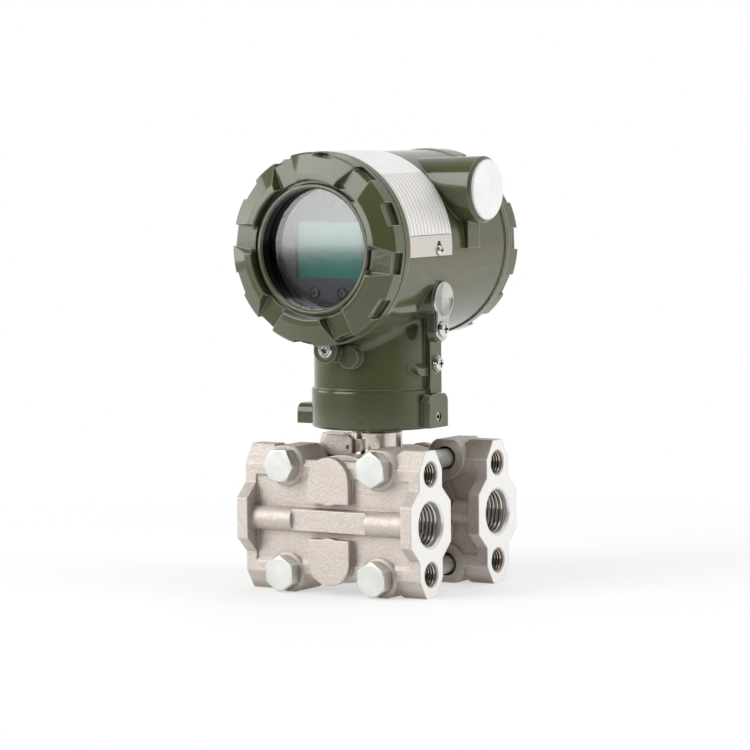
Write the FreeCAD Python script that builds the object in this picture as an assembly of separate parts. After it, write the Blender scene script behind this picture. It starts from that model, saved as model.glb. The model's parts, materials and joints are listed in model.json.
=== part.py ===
import FreeCAD, Part
import os
from math import cos, radians, sin, sqrt

V = FreeCAD.Vector

# Differential pressure transmitter, in millimetres, +Z up. The display faces -Y and the
# open process ports face +X. Pieces are laid out about the neck's axis, over the plane
# that the flanges stand on, and are moved last so that the origin is the centre of the
# manifold bolt pattern in the right-hand port faces.

# Pressure flanges
port_z = 30.3               # height of the process ports, and half the flange height
port_pitch = 54.0           # between the two process ports
manifold_pitch = 41.3       # between the manifold bolt holes over and under a port
flange_half_length = 42.6
rail_half_width = 8.8       # half the thickness of the flange body
rail_bevel_z = 22.5         # where the long bevels of the rails start
rail_crest = 3.6            # half width of the flat crest of a rail
waist_half_height = 24.8    # half height of the body behind and between the bolt bosses
waist_half_length = 25.5
web_sink = 0.9              # depth of the cast recesses beside the middle bar
web_half_height = 17.0
web_slope = 1.3             # sloping upper and lower edges of the recesses
plate_thick = 5.1           # end plate that carries the port face
plate_half_width = 15.6
plate_flat_z = 8.3          # half height of the vertical edge of an end plate
plate_bevel_z = 14.6        # where the bevels of an end plate meet the flange body
bar_radius = 5.2            # half round swelling over a threaded port
bar_inner_x = 18.0
flat_bar_front = 11.4
pad_radius = 9.8            # pads with one round end, cast over and under the bar
pad_front = 11.7
pad_low_z = 7.5
pad_high_z = 26.5
port_radius = 9.2
port_depth = 17.5
port_chamfer = 0.9
manifold_radius = 4.9       # right end, clear of the manifold's bolts
manifold_left_radius = 4.25 # left end, bored for an M10 thread
manifold_depth = 13.0
manifold_chamfer = 0.45
manifold_chamfer_width = 0.7
passage_radius = 3.2
chamber_feed_x = 12.0
chamber_radius = 18.6
chamber_depth = 1.4

# Flange bolts
bolt_pitch = 45.0
bolt_radius = 4.0
bolt_hole_radius = 4.9
bolt_boss_radius = 7.9
bolt_boss_root = 8.9
bolt_seat = 9.6             # bolt seat, from the middle of a flange
bolt_flats = 13.0
bolt_head_height = 5.3
nut_height = 6.5
bolt_thread_over = 2.2

# Capsule between the flanges
capsule_radius = 26.6
clamp_face = 9.6            # inner sealing face, from the middle of a flange
rim_clearance = 0.8         # round the capsule's rim, between the flange bars
gasket_inner_radius = 20.6
gasket_width = 2.8
gasket_groove = 1.2
diaphragm_thick = 0.3
diaphragm_sink = 0.9
weld_groove = 0.8
neck_radius = 10.7
neck_top_z = 64.6
throat_radius = 9.6
spigot_radius = 14.8
spigot_top_z = 90.0
spigot_clearance = 0.06
connector_radius = 6.5
connector_height = 5.0
pin_radius = 0.6

# Orientation plate beside the neck
tag_centre_x = -11.8
tag_half_width = 8.4
tag_height = 8.6
tag_low_z = 55.4
tag_thick = 1.6
tag_front_y = -14.6
tag_point = 3.2

# Housing
ring_low_z = 67.0
ring_high_z = 83.8
ring_radius = 27.3
ring_edge = 1.3             # round of the ring's edges
housing_neck_radius = 26.2
neck_fillet = 5.0           # where the neck runs into the barrel
barrel_z = 142.9
barrel_wall = 5.2
collar_stand = 0.6          # collar rings, proud of the barrel
collar_width = 3.0
housing_front_y = -39.9
housing_rear_y = 43.6
bore_radius = 34.0          # of both compartments
partition_front_y = -1.5
partition_rear_y = 2.5
seal_seat_width = 2.4
seal_seat_depth = 2.3
lug_half_width = 7.2
lug_round = 3.6
lug_spot_radius = 1.7       # small boss cast on the side of the right lug
lug_spot_stand = 0.6
lug_right_x = 30.5
lug_left_x = 35.3
lug_high_z = 81.6
lug_left_high_z = 75.9
set_screw_z = 72.0
set_screw_radius = 2.0
groove_depth = 1.2
passage_height = 8.0        # room over the sensor connector
lead_hole_radius = 5.0
lead_hole_y = -7.0

# Conduit bosses
conduit_y = 11.5
conduit_z = 165.9
conduit_end_x = 47.2
conduit_radius = 13.9
conduit_root_radius = 12.8
conduit_bore_radius = 9.6
conduit_rim = 1.0
block_stand = 2.0           # machined block under each boss, proud of the barrel
block_front = 4.6           # from the conduit axis to the block's front face
block_rear = 4.9
block_drop = 1.2            # block's lower end, under the barrel's axis
cap_radius = 12.6
cap_thick = 1.3
cap_stem_length = 12.0
cap_clearance = 0.1
plug_flats = 22.0
plug_head = 6.0

# Covers
cover_gap = 0.3             # joint line between a cover and the housing
cover_stand = 0.4           # rim wall, proud of the barrel
wall_height = 7.4           # rim wall, from the joint line to where the crown starts
wall_round = 0.6
crest_width = 3.1           # flat crest, where the crown's cone ends
crown_height = 11.2
groove_width = 1.4          # groove between the lip and the crest
groove_floor = 5.8
lip_width = 2.1
lip_height = 8.05
window_radius = 24.8
slot_floor = 7.3
slot_inner_width = 10.0
slot_outer_width = 8.6
slot_flare = 1.2            # how far each side of a slot leans out at the top
slot_count = 6
front_slot_phase = -8.0
rear_slot_phase = -2.0
notch_depth = 2.0           # of the grip notches in the rim wall
notch_width = 9.0
notch_flare = 0.9           # how far the notches between two slots widen outwards
notch_low = 1.8
back_wall_low = 2.6
back_wall_high = 6.0
skirt_clearance = 0.1
skirt_wall = 2.7
skirt_length = 11.0
glass_seat = 3.4            # width of the glass's edge behind the lip
glass_thick = 3.9
glass_front = 2.5
glass_gasket_thick = 0.4
glass_ring_thick = 1.8
pocket_clearance = 0.15

# Display
bezel_clearance = 4.6       # bezel edge to the compartment wall
bezel_rim_y = -36.2
bezel_face_y = -34.6
bezel_thick = 1.4
bezel_window_radius = 22.4
lcd_half_width = 16.0
lcd_low = -12.4
lcd_high = 11.0
lcd_border = 2.0
lcd_thick = 3.2
display_screw_spots = [(-6.8, -18.5), (6.8, -18.5), (0.0, 18.9)]
display_screw_radius = 2.1
board_clearance = 4.8
board_thick = 1.6
display_board_y = -28.4
amplifier_board_y = -16.0
post_radius = 2.4
post_spot_radius = 24.6
post_angles = [38.0, 142.0, 218.0, 322.0]
terminal_depth = 12.0
terminal_half_width = 21.0
terminal_half_height = 11.0
terminal_count = 4
terminal_pitch = 9.4
terminal_bay_half = 3.6     # half width of a bay in the terminal block
terminal_bay_depth = 4.0
terminal_screw_radius = 2.9
terminal_screw_height = 2.3

# Nameplate
plate_front_y = -36.4
plate_rear_y = -3.6
nameplate_thick = 0.5
nameplate_low_angle = -5.0
nameplate_screw_y = -14.0
nameplate_screw_angle = -1.6
nameplate_screw_shank = 1.1
nameplate_screw_length = 4.0
nameplate_screw_head = 2.2
nameplate_screw_height = 1.4

# Outside screws and the zero adjustment
zero_stand = 4.0            # boss face, out from the barrel at the height of the screw
zero_y = -6.8
zero_screw_z = 121.1
zero_pivot_drop = 12.1      # from the zero screw to the pivot of its cover
zero_lean = 7.5             # of the cover, in degrees off upright
zero_disc_radius = 7.4
zero_stem_root = 5.2        # half width of the stem at the disc's middle
zero_stem_radius = 4.1
zero_stem_over = 0.9
zero_boss_margin = 0.6
zero_tongue = 3.6           # thickness of the casting behind the stem
zero_plate_thick = 1.0
zero_screw_radius = 3.0
zero_screw_recess = 6.0
pan_radius = 3.3
pan_height = 1.5
pan_shank_radius = 1.9
ground_face_x = 28.6
ground_y = 1.0
ground_z = 94.0
ground_boss_radius = 4.1
ground_screw_radius = 2.9
washer_thick = 0.8
column_half_width = 4.4
rib_sink = 1.3              # rib in front of the ground boss, with a round lower end
rib_length = 13.2
rib_height = 5.3
rib_top_z = 94.6
rib_bevel = 2.3
lock_x = -4.2
lock_y = -33.0
lock_drop = 2.9             # lock screws under the barrel
lock_head_radius = 3.3
lock_boss_radius = 5.6
lock_head_height = 3.0
lock_recess = 2.4

flange_y = port_pitch / 2
capsule_half = flange_y - clamp_face
bolt_half = bolt_pitch / 2
manifold_half = manifold_pitch / 2
socket_radius = spigot_radius + spigot_clearance
barrel_radius = bore_radius + barrel_wall
collar_radius = barrel_radius + collar_stand
cover_radius = barrel_radius + cover_stand
skirt_radius = bore_radius - skirt_clearance
skirt_inner_radius = skirt_radius - skirt_wall
seal_seat_radius = skirt_radius + seal_seat_width
notch_radius = cover_radius - notch_depth
lip_radius = window_radius + lip_width
groove_radius = lip_radius + groove_width
crown_radius = groove_radius + crest_width
glass_radius = window_radius + glass_seat
bezel_radius = bore_radius - bezel_clearance
board_radius = bore_radius - board_clearance
front_cover_y = housing_front_y - cover_gap
rear_cover_y = housing_rear_y + cover_gap
passage_top_z = spigot_top_z + connector_height + passage_height
lock_z = barrel_z - barrel_radius - lock_drop
zero_face_x = zero_stand + sqrt(barrel_radius ** 2 - (barrel_z - zero_screw_z) ** 2)
zero_pivot_y = zero_y - zero_pivot_drop * sin(radians(zero_lean))
zero_pivot_z = zero_screw_z - zero_pivot_drop * cos(radians(zero_lean))


def box(x0, x1, y0, y1, z0, z1):
    return Part.makeBox(x1 - x0, y1 - y0, z1 - z0, V(x0, y0, z0))


def rod(radius, start, end):
    run = V(*end) - V(*start)
    return Part.makeCylinder(radius, run.Length, V(*start), run)


def cone(radius_a, radius_b, start, end):
    run = V(*end) - V(*start)
    return Part.makeCone(radius_a, radius_b, run.Length, V(*start), run)


def prism(points, push):
    outline = [V(*p) for p in points]
    return Part.Face(Part.makePolygon(outline + outline[:1])).extrude(V(*push))


def turned(profile):
    """Solid turned about local Z from (radius, height) points."""
    outline = [V(r, 0, h) for r, h in profile]
    face = Part.Face(Part.makePolygon(outline + outline[:1]))
    return face.revolve(V(0, 0, 0), V(0, 0, 1), 360)


def tube(outer, inner, low, high):
    return turned([(inner, low), (outer, low), (outer, high), (inner, high)])


def facing(shape, direction, at):
    """Turn a solid built along local Z to face a direction, and move it."""
    placed = shape.copy()
    if direction != "up":
        placed.rotate(V(0, 0, 0), V(1, 0, 0), 90)
        turn = {"front": 0, "rear": 180, "right": 90, "left": -90}[direction]
        placed.rotate(V(0, 0, 0), V(0, 0, 1), turn)
    placed.translate(V(*at))
    return placed


def hexagon(across_flats, low, high, phase=0.0, chamfer=0.6):
    corner = across_flats / sqrt(3)
    points = [(corner * cos(radians(60 * i + phase)), corner * sin(radians(60 * i + phase)), low)
              for i in range(6)]
    body = prism(points, (0, 0, high - low))
    flat = across_flats / 2
    dome = turned([(0, low), (corner + 1, low), (corner + 1, high - chamfer * 1.2),
                   (flat - 0.1, high), (0, high)])
    return body.common(dome)


def merged(first, *others):
    shape = first.fuse(list(others)) if others else first
    return shape.removeSplitter()


def rounded(shape, radius, wanted):
    """Fillet the edges that a test picks, where the kernel can."""
    edges = [e for e in shape.Edges if wanted(e)]
    return shape.makeFillet(radius, edges) if edges else shape


# Flange: one casting with a threaded port in each end face

def flange_blank():
    w, s, t, h = rail_half_width, rail_bevel_z, rail_crest, port_z
    x0 = -flange_half_length
    rail = [(x0, -w, -s), (x0, -t, -h), (x0, t, -h), (x0, w, -s),
            (x0, w, s), (x0, t, h), (x0, -t, h), (x0, -w, s)]
    body = prism(rail, (2 * flange_half_length, 0, 0))
    slope = waist_half_length + (h - waist_half_height) * 1.1
    for side in (-1, 1):
        waist = [(-slope, -w, side * h), (-waist_half_length, -w, side * waist_half_height),
                 (waist_half_length, -w, side * waist_half_height), (slope, -w, side * h)]
        body = body.cut(prism(waist, (0, 2 * w, 0)))
    for side in (-1, 1):
        end_x, floor_y = plate_thick - flange_half_length, side * (w - web_sink)
        recess = [(end_x, floor_y, -web_half_height), (end_x, floor_y, web_half_height),
                  (end_x, side * w, web_half_height + web_slope),
                  (end_x, side * w, -web_half_height - web_slope)]
        body = body.cut(prism(recess, (-2 * end_x, 0, 0)))
    return body


def end_plate():
    a, b = plate_half_width, rail_half_width
    f, g = plate_flat_z, plate_bevel_z
    x0 = flange_half_length - plate_thick
    outline = [(x0, -a, -f), (x0, -b, -g), (x0, b, -g), (x0, a, -f),
               (x0, a, f), (x0, b, g), (x0, -b, g), (x0, -a, f)]
    return prism(outline, (plate_thick, 0, 0))


def bolt_spots():
    return [(x, z) for x in (-bolt_half, bolt_half) for z in (-bolt_half, bolt_half)]


def round_pad(side):
    front, back = -pad_front, -rail_half_width + web_sink
    arc_z = pad_high_z - pad_radius
    top = rod(pad_radius, (0, front, side * arc_z), (0, back, side * arc_z))
    low, high = sorted((side * pad_low_z, side * arc_z))
    return top.fuse(box(-pad_radius, pad_radius, front, back, low, high))


def flange_bores(open_end):
    """Bores of a flange whose process port is open at the +1 or -1 end."""
    cuts = []
    for end in (-1, 1):
        face = end * flange_half_length
        cuts.append(rod(port_radius, (face, 0, 0), (face - end * port_depth, 0, 0)))
        cuts.append(cone(port_radius, port_radius - 4.5, (face - end * port_depth, 0, 0),
                         (face - end * (port_depth + 3.0), 0, 0)))
        cuts.append(cone(port_radius + port_chamfer, port_radius, (face, 0, 0),
                         (face - end * port_chamfer, 0, 0)))
        radius = manifold_radius if end == open_end else manifold_left_radius
        for side in (-1, 1):
            z = side * manifold_half
            bottom = face - end * manifold_depth
            cuts.append(rod(radius, (face, 0, z), (bottom, 0, z)))
            cuts.append(cone(radius, 1.0, (bottom, 0, z), (bottom - end * 2.0, 0, z)))
            cuts.append(cone(radius + manifold_chamfer_width, radius, (face, 0, z),
                             (face - end * manifold_chamfer, 0, z)))
        cuts.append(rod(passage_radius - 1.0, (end * chamber_feed_x, 0, 0),
                        (end * chamber_feed_x, clamp_face, 0)))
    cuts.append(rod(passage_radius, (-flange_half_length + port_depth, 0, 0),
                    (flange_half_length - port_depth, 0, 0)))
    return cuts


def flange(open_end):
    """Flange about its own middle, with its outer side facing -Y."""
    plate = end_plate()
    mirrored = plate.mirror(V(0, 0, 0), V(1, 0, 0))
    body = flange_blank().fuse([plate, mirrored])
    web = rail_half_width - web_sink
    outer_x = flange_half_length - plate_thick
    bars = [rod(bar_radius, (end * bar_inner_x, side * web, 0), (end * outer_x, side * web, 0))
            for end in (-1, 1) for side in (-1, 1)]
    half_z, front = bar_radius, -flat_bar_front
    flat = prism([(-bar_inner_x, -web, -half_z), (-bar_inner_x, front, -half_z + 0.8),
                  (-bar_inner_x, front, half_z - 0.8), (-bar_inner_x, -web, half_z)],
                 (2 * bar_inner_x, 0, 0))
    bosses = [cone(bolt_boss_root, bolt_boss_radius, (x, -rail_half_width, z), (x, -bolt_seat, z))
              for x, z in bolt_spots()]
    bosses += [rod(bolt_boss_root, (x, -rail_half_width, z), (x, clamp_face - 0.4, z))
               for x, z in bolt_spots()]
    clamp_pad = rod(capsule_radius, (0, 0, 0), (0, clamp_face, 0))
    body = body.fuse(bars + [flat, round_pad(1), round_pad(-1), clamp_pad] + bosses)
    reach = flange_half_length
    body = body.common(box(-reach, reach, -reach, reach, -port_z, port_z))
    cuts = flange_bores(open_end)
    cuts.append(rod(capsule_radius + rim_clearance, (0, clamp_face, 0), (0, pad_front + 6, 0)))
    cuts += [rod(bolt_hole_radius, (x, -bolt_seat, z), (x, clamp_face, z))
             for x, z in bolt_spots()]
    cuts.append(rod(chamber_radius, (0, clamp_face - chamber_depth, 0), (0, clamp_face, 0)))
    groove = tube(gasket_inner_radius + gasket_width, gasket_inner_radius,
                  -clamp_face, -clamp_face + gasket_groove)
    cuts.append(facing(groove, "front", (0, 0, 0)))
    return body.cut(cuts).removeSplitter()


def placed_flange(direction):
    shape = flange(1 if direction == "front" else -1)
    if direction == "rear":
        shape.rotate(V(0, 0, 0), V(0, 0, 1), 180)
    shape.translate(V(0, -flange_y if direction == "front" else flange_y, port_z))
    return shape


def bolts():
    solids = []
    head_y = -flange_y - bolt_seat
    end_y = flange_y + bolt_seat + nut_height + bolt_thread_over
    for index, (x, z) in enumerate(bolt_spots()):
        phase = 0.0 if index == 1 else 30.0
        head = hexagon(bolt_flats, 0, bolt_head_height, phase)
        shank = turned([(0, 0), (0, -(end_y - head_y)), (bolt_radius - 0.8, -(end_y - head_y)),
                        (bolt_radius, -(end_y - head_y) + 0.8), (bolt_radius, 0)])
        solids.append(facing(head.fuse(shank), "front", (x, head_y, port_z + z)))
    return Part.makeCompound([s.removeSplitter() for s in solids])


def nuts():
    solids = []
    for x, z in bolt_spots():
        nut = hexagon(bolt_flats, 0, nut_height, 30.0)
        nut = nut.cut(rod(bolt_radius, (0, 0, -1), (0, 0, nut_height + 1)))
        solids.append(facing(nut, "rear", (x, flange_y + bolt_seat, port_z + z)))
    return Part.makeCompound(solids)


# Capsule, its seals and diaphragms

def capsule():
    half, g = capsule_half, weld_groove
    rim = capsule_radius
    disc = turned([(0, -half), (rim - 0.6, -half), (rim, -half + 0.6), (rim, -7 - g), (rim - g, -7),
                   (rim, -7 + g), (rim, 7 - g), (rim - g, 7), (rim, 7 + g), (rim, half - 0.6),
                   (rim - 0.6, half), (0, half)])
    disc = facing(disc, "front", (0, 0, port_z))
    for direction in ("front", "rear"):
        sink = rod(chamber_radius, (0, 0, half - diaphragm_sink), (0, 0, half))
        disc = disc.cut(facing(sink, direction, (0, 0, port_z)))
    low = ring_low_z
    groove_r = spigot_radius - groove_depth
    stem = turned([(0, port_z + 15), (neck_radius, port_z + 15), (neck_radius, neck_top_z),
                   (throat_radius, neck_top_z + 0.8), (throat_radius, low + 0.4),
                   (spigot_radius - 0.5, low + 0.4), (spigot_radius, low + 0.9),
                   (spigot_radius, set_screw_z - 2.6), (groove_r, set_screw_z - 2.2),
                   (groove_r, set_screw_z + 2.2), (spigot_radius, set_screw_z + 2.6),
                   (spigot_radius, spigot_top_z - 5.2), (groove_r, spigot_top_z - 5.2),
                   (groove_r, spigot_top_z - 3.0), (spigot_radius, spigot_top_z - 3.0),
                   (spigot_radius, spigot_top_z - 0.6), (spigot_radius - 0.6, spigot_top_z),
                   (0, spigot_top_z)])
    ledge = box(tag_centre_x - 5.0, 0, tag_front_y + tag_thick, -6.0,
                port_z + capsule_radius - 8.0, tag_low_z + tag_height - 1.6)
    notch = box(tag_centre_x - tag_half_width - 0.6, tag_centre_x + tag_half_width + 0.6,
                -capsule_half - 1, tag_front_y + tag_thick, tag_low_z, neck_top_z)
    return merged(disc.cut(notch), stem, ledge)


def capsule_gasket(direction):
    ring = tube(gasket_inner_radius + gasket_width, gasket_inner_radius, 0, gasket_groove)
    return facing(ring, direction, (0, -capsule_half if direction == "front" else capsule_half,
                                    port_z))


def diaphragm(direction):
    t, wave = diaphragm_thick, 0.35
    r = chamber_radius - 0.1
    crests = [(r * (1 - 0.14 * i), wave * (i % 2)) for i in range(1, 6)]
    top = [(r, t)] + [(x, h + t) for x, h in crests] + [(0, t)]
    bottom = [(0, 0)] + [(x, h) for x, h in reversed(crests)] + [(r, 0)]
    disc = turned(top + bottom)
    level = capsule_half - diaphragm_sink
    return facing(disc, direction, (0, -level if direction == "front" else level, port_z))


def orientation_plate():
    x0, x1 = tag_centre_x - tag_half_width, tag_centre_x + tag_half_width
    low, high = tag_low_z, tag_low_z + tag_height
    mid = low + tag_height * 0.42
    y = tag_front_y
    outline = [(x0, y, mid), (x0 + tag_point, y, low), (x1 - 0.8, y, low), (x1, y, low + 0.8),
               (x1, y, high - 1.6), (x1 - 1.6, y, high), (x0 + tag_point * 1.3, y, high)]
    plate = prism(outline, (0, tag_thick, 0))
    hole = rod(0.9, (x1 - 1.9, y, mid), (x1 - 1.9, y + 1.0, mid))
    return plate.cut(hole)


def sensor_connector():
    base = rod(connector_radius, (0, 0, spigot_top_z), (0, 0, spigot_top_z + connector_height - 2))
    collar = tube(connector_radius, connector_radius - 1.2, spigot_top_z,
                  spigot_top_z + connector_height)
    pins = [rod(pin_radius, (3.4 * cos(radians(60 * i)), 3.4 * sin(radians(60 * i)),
                             spigot_top_z + 1),
                (3.4 * cos(radians(60 * i)), 3.4 * sin(radians(60 * i)),
                 spigot_top_z + connector_height + 1.5)) for i in range(6)]
    return merged(base, collar, *pins)


def spigot_seal():
    inner = spigot_radius - groove_depth
    mid = spigot_top_z - 4.1
    half = 0.95
    return turned([(inner + 0.02, mid - half + 0.3), (inner + 0.3, mid - half),
                   (spigot_radius - 0.2, mid - half), (spigot_radius, mid - half + 0.4),
                   (spigot_radius, mid + half - 0.4), (spigot_radius - 0.2, mid + half),
                   (inner + 0.3, mid + half), (inner + 0.02, mid + half - 0.3)])


def port_plug(direction):
    """Vent plug screwed into the left port, built along +Z out of the port face."""
    length = port_depth - 3.0
    shank = turned([(0, -length), (port_radius - 1.0, -length), (port_radius - 0.05, -length + 1.0),
                    (port_radius - 0.05, 0), (0, 0)])
    head = hexagon(16.0, 0, 4.6, 30.0)
    bore = rod(3.05, (0, 0, -5.0), (0, 0, 6.0))
    drain = rod(1.2, (0, 0, -length), (0, 0, 0))
    side_hole = rod(1.0, (0, 0, 2.2), (0, -12, 2.2))
    plug = merged(shank, head).cut([bore, drain, side_hole])
    y = -flange_y if direction == "front" else flange_y
    return facing(plug, "left", (-flange_half_length, y, port_z))


def vent_screw(direction):
    screw = turned([(0, -4.8), (1.2, -4.8), (2.4, -3.2), (3.0, -3.2), (3.0, 4.6), (2.6, 5.2),
                    (0, 5.2)])
    head = hexagon(5.0, 5.0, 7.4, 0.0, 0.4)
    y = -flange_y if direction == "front" else flange_y
    return facing(merged(screw, head), "left", (-flange_half_length, y, port_z))


# Housing casting

def conduit_boss(side):
    """Boss about the conduit axis, along +X or -X."""
    end = side * conduit_end_x
    rim = side * (conduit_end_x - conduit_rim)
    body = cone(conduit_root_radius, conduit_radius, (0, conduit_y, conduit_z),
                (rim, conduit_y, conduit_z))
    edge = cone(conduit_radius, conduit_radius - conduit_rim, (rim, conduit_y, conduit_z),
                (end, conduit_y, conduit_z))
    return [body, edge]


def zero_outline(x0, x1, margin):
    """Disc over the zero screw with a tapered stem, leaning to its pivot."""
    top, root, low = (r + margin for r in (zero_disc_radius, zero_stem_root, zero_stem_radius))
    drop = zero_pivot_drop + zero_stem_over
    stem = prism([(x0, -root, 0), (x0, root, 0), (x0, low, -drop), (x0, -low, -drop)],
                 (x1 - x0, 0, 0))
    shape = merged(rod(top, (x0, 0, 0), (x1, 0, 0)), stem, rod(low, (x0, 0, -drop), (x1, 0, -drop)))
    shape.rotate(V(0, 0, 0), V(1, 0, 0), -zero_lean)
    shape.translate(V(0, zero_y, zero_screw_z))
    return shape


def lug(side, reach, high):
    low = ring_low_z + 0.5
    half = lug_half_width
    x0, x1 = side * (ring_radius - 6), side * reach
    block = box(min(x0, x1), max(x0, x1), -half, half, low, high)
    return rounded(block, lug_round, lambda e: abs(e.CenterOfMass.z - high) < 0.01
                   and abs(abs(e.CenterOfMass.y) - half) < 0.01)


def housing():
    axis = barrel_z
    length = housing_rear_y - housing_front_y
    barrel = rod(barrel_radius, (0, housing_front_y, axis), (0, housing_rear_y, axis))
    neck = rod(housing_neck_radius, (0, 0, ring_low_z + 1), (0, 0, axis))
    body = barrel.fuse(neck)
    body = rounded(body, neck_fillet, lambda e: "BSpline" in str(e.Curve) and e.Length > 60)
    collars = [rod(collar_radius, (0, housing_front_y, axis),
                   (0, housing_front_y + collar_width, axis)),
               rod(collar_radius, (0, housing_rear_y - collar_width, axis),
                   (0, housing_rear_y, axis))]
    base_ring = rounded(rod(ring_radius, (0, 0, ring_low_z), (0, 0, ring_high_z)), ring_edge,
                        lambda e: "Circle" in str(e.Curve))
    zero_boss = rod(zero_disc_radius + zero_boss_margin, (8.0, zero_y, zero_screw_z),
                    (zero_face_x, zero_y, zero_screw_z))
    tongue = zero_outline(zero_face_x - zero_tongue, zero_face_x, zero_boss_margin)
    column = box(15, ground_face_x, ground_y - column_half_width, ground_y + column_half_width,
                 ring_high_z - 2, zero_screw_z - zero_disc_radius)
    ground_boss = rod(ground_boss_radius, (15, ground_y, ground_z),
                      (ground_face_x + 0.3, ground_y, ground_z))
    rib_x, rib_y = ground_face_x - rib_sink, ground_y - rib_length + rib_height
    rib = rod(rib_height, (15, rib_y, rib_top_z), (rib_x, rib_y, rib_top_z))
    rib = rib.fuse(box(15, rib_x, rib_y, ground_y, rib_top_z - rib_height, rib_top_z))
    rib = rib.common(prism([(15, -40, rib_top_z - rib_height), (rib_x, -40, rib_top_z - rib_height),
                            (rib_x, -40, rib_top_z - rib_bevel),
                            (rib_x - rib_bevel * 0.7, -40, rib_top_z), (15, -40, rib_top_z)],
                           (0, 60, 0)))
    lock_boss = rod(lock_boss_radius, (lock_x, lock_y, lock_z), (lock_x, -15, lock_z))
    drill_boss = rod(4.8, (lock_x + 8.5, lock_y + 4.0, lock_z - 3.0), (lock_x + 8.5, -15, lock_z - 3))
    rear_lock = rod(lock_boss_radius, (-lock_x, -lock_y, lock_z), (-lock_x, 15, lock_z))
    block = box(30, barrel_radius + block_stand, conduit_y - block_front, conduit_y + block_rear,
                axis - block_drop, conduit_z - conduit_bore_radius)
    left_block = block.mirror(V(0, 0, 0), V(1, 0, 0))
    spot_x, spot_z = lug_right_x - 1.5, lug_high_z - 1.7
    spot = rod(lug_spot_radius, (spot_x, -lug_half_width - lug_spot_stand, spot_z),
               (spot_x, -lug_half_width + 1.5, spot_z))
    parts = collars + [base_ring, zero_boss, tongue, column, ground_boss, rib, lock_boss,
                       drill_boss, rear_lock, block, left_block, spot,
                       lug(1, lug_right_x, lug_high_z), lug(-1, lug_left_x, lug_left_high_z)]
    parts += conduit_boss(1) + conduit_boss(-1)
    body = body.fuse(parts)
    return body.cut(housing_cuts()).removeSplitter()


def housing_cuts():
    axis = barrel_z
    cuts = [rod(bore_radius, (0, housing_front_y, axis), (0, partition_front_y, axis)),
            rod(bore_radius, (0, partition_rear_y, axis), (0, housing_rear_y, axis)),
            rod(seal_seat_radius, (0, housing_front_y, axis),
                (0, housing_front_y + seal_seat_depth, axis)),
            rod(seal_seat_radius, (0, housing_rear_y - seal_seat_depth, axis),
                (0, housing_rear_y, axis)),
            rod(socket_radius, (0, 0, ring_low_z), (0, 0, spigot_top_z + 0.2)),
            rod(connector_radius + 1.5, (0, 0, spigot_top_z), (0, 0, passage_top_z)),
            rod(lead_hole_radius, (0, lead_hole_y, passage_top_z - 6),
                (0, lead_hole_y, axis - bore_radius + 1))]
    for side in (-1, 1):
        cuts.append(rod(conduit_bore_radius, (side * 20, conduit_y, conduit_z),
                        (side * conduit_end_x, conduit_y, conduit_z)))
        reach = side * (lug_right_x if side > 0 else lug_left_x)
        cuts.append(rod(set_screw_radius, (0, 0, set_screw_z), (reach, 0, set_screw_z)))
    cuts.append(rod(zero_screw_radius + 0.1, (zero_face_x - zero_screw_recess, zero_y, zero_screw_z),
                    (zero_face_x, zero_y, zero_screw_z)))
    cuts.append(rod(pan_shank_radius, (zero_face_x - zero_tongue, zero_pivot_y, zero_pivot_z),
                    (zero_face_x, zero_pivot_y, zero_pivot_z)))
    cuts.append(rod(pan_shank_radius, (ground_face_x - 7, ground_y, ground_z),
                    (ground_face_x + 1, ground_y, ground_z)))
    for x, y in ((lock_x, lock_y), (-lock_x, -lock_y)):
        seat = y + lock_recess if y < 0 else y - lock_recess
        bottom = y + lock_recess + 7 if y < 0 else y - lock_recess - 7
        mouth = y - 1.2 if y < 0 else y + 1.2
        cuts.append(rod(lock_head_radius + 0.3, (x, mouth, lock_z), (x, seat, lock_z)))
        cuts.append(rod(pan_shank_radius, (x, seat, lock_z), (x, bottom, lock_z)))
    angle = radians(nameplate_screw_angle)
    for side in (-1, 1):
        out = V(side * cos(angle), 0, sin(angle))
        spot = V(0, nameplate_screw_y, barrel_z)
        start = spot + out * (barrel_radius - nameplate_screw_length - 0.5)
        end = spot + out * (barrel_radius + 2)
        cuts.append(rod(nameplate_screw_shank + 0.1, tuple(start), tuple(end)))
    return cuts


# Covers, built along +Z away from the joint line with the housing

def slot_cutter():
    """Radial slot through the crown, narrower outwards, with leaning sides."""
    top = crown_height + 0.2
    sections = []
    for x, width in ((groove_radius - 0.3, slot_inner_width), (cover_radius + 1, slot_outer_width)):
        half = width / 2
        outline = [V(x, -half, slot_floor), V(x, half, slot_floor), V(x, half + slot_flare, top),
                   V(x, -half - slot_flare, top), V(x, -half, slot_floor)]
        sections.append(Part.makePolygon(outline))
    return Part.makeLoft(sections, True, True)


def notch_cutter(flare):
    half, reach = notch_width / 2, cover_radius + 1
    plan = [(notch_radius, -half, notch_low), (reach, -half - flare, notch_low),
            (reach, half + flare, notch_low), (notch_radius, half, notch_low)]
    return prism(plan, (0, 0, crown_height))


def cut_rim(cover, phase):
    """Cut the slots and grip notches round a cover."""
    step = 360.0 / slot_count
    cutters = []
    for i in range(slot_count):
        for cutter, turn in ((slot_cutter(), 0), (notch_cutter(0), 0),
                             (notch_cutter(notch_flare), step / 2)):
            cutter.rotate(V(0, 0, 0), V(0, 0, 1), phase + step * i + turn)
            cutters.append(cutter)
    return cover.cut(cutters).removeSplitter()


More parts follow.
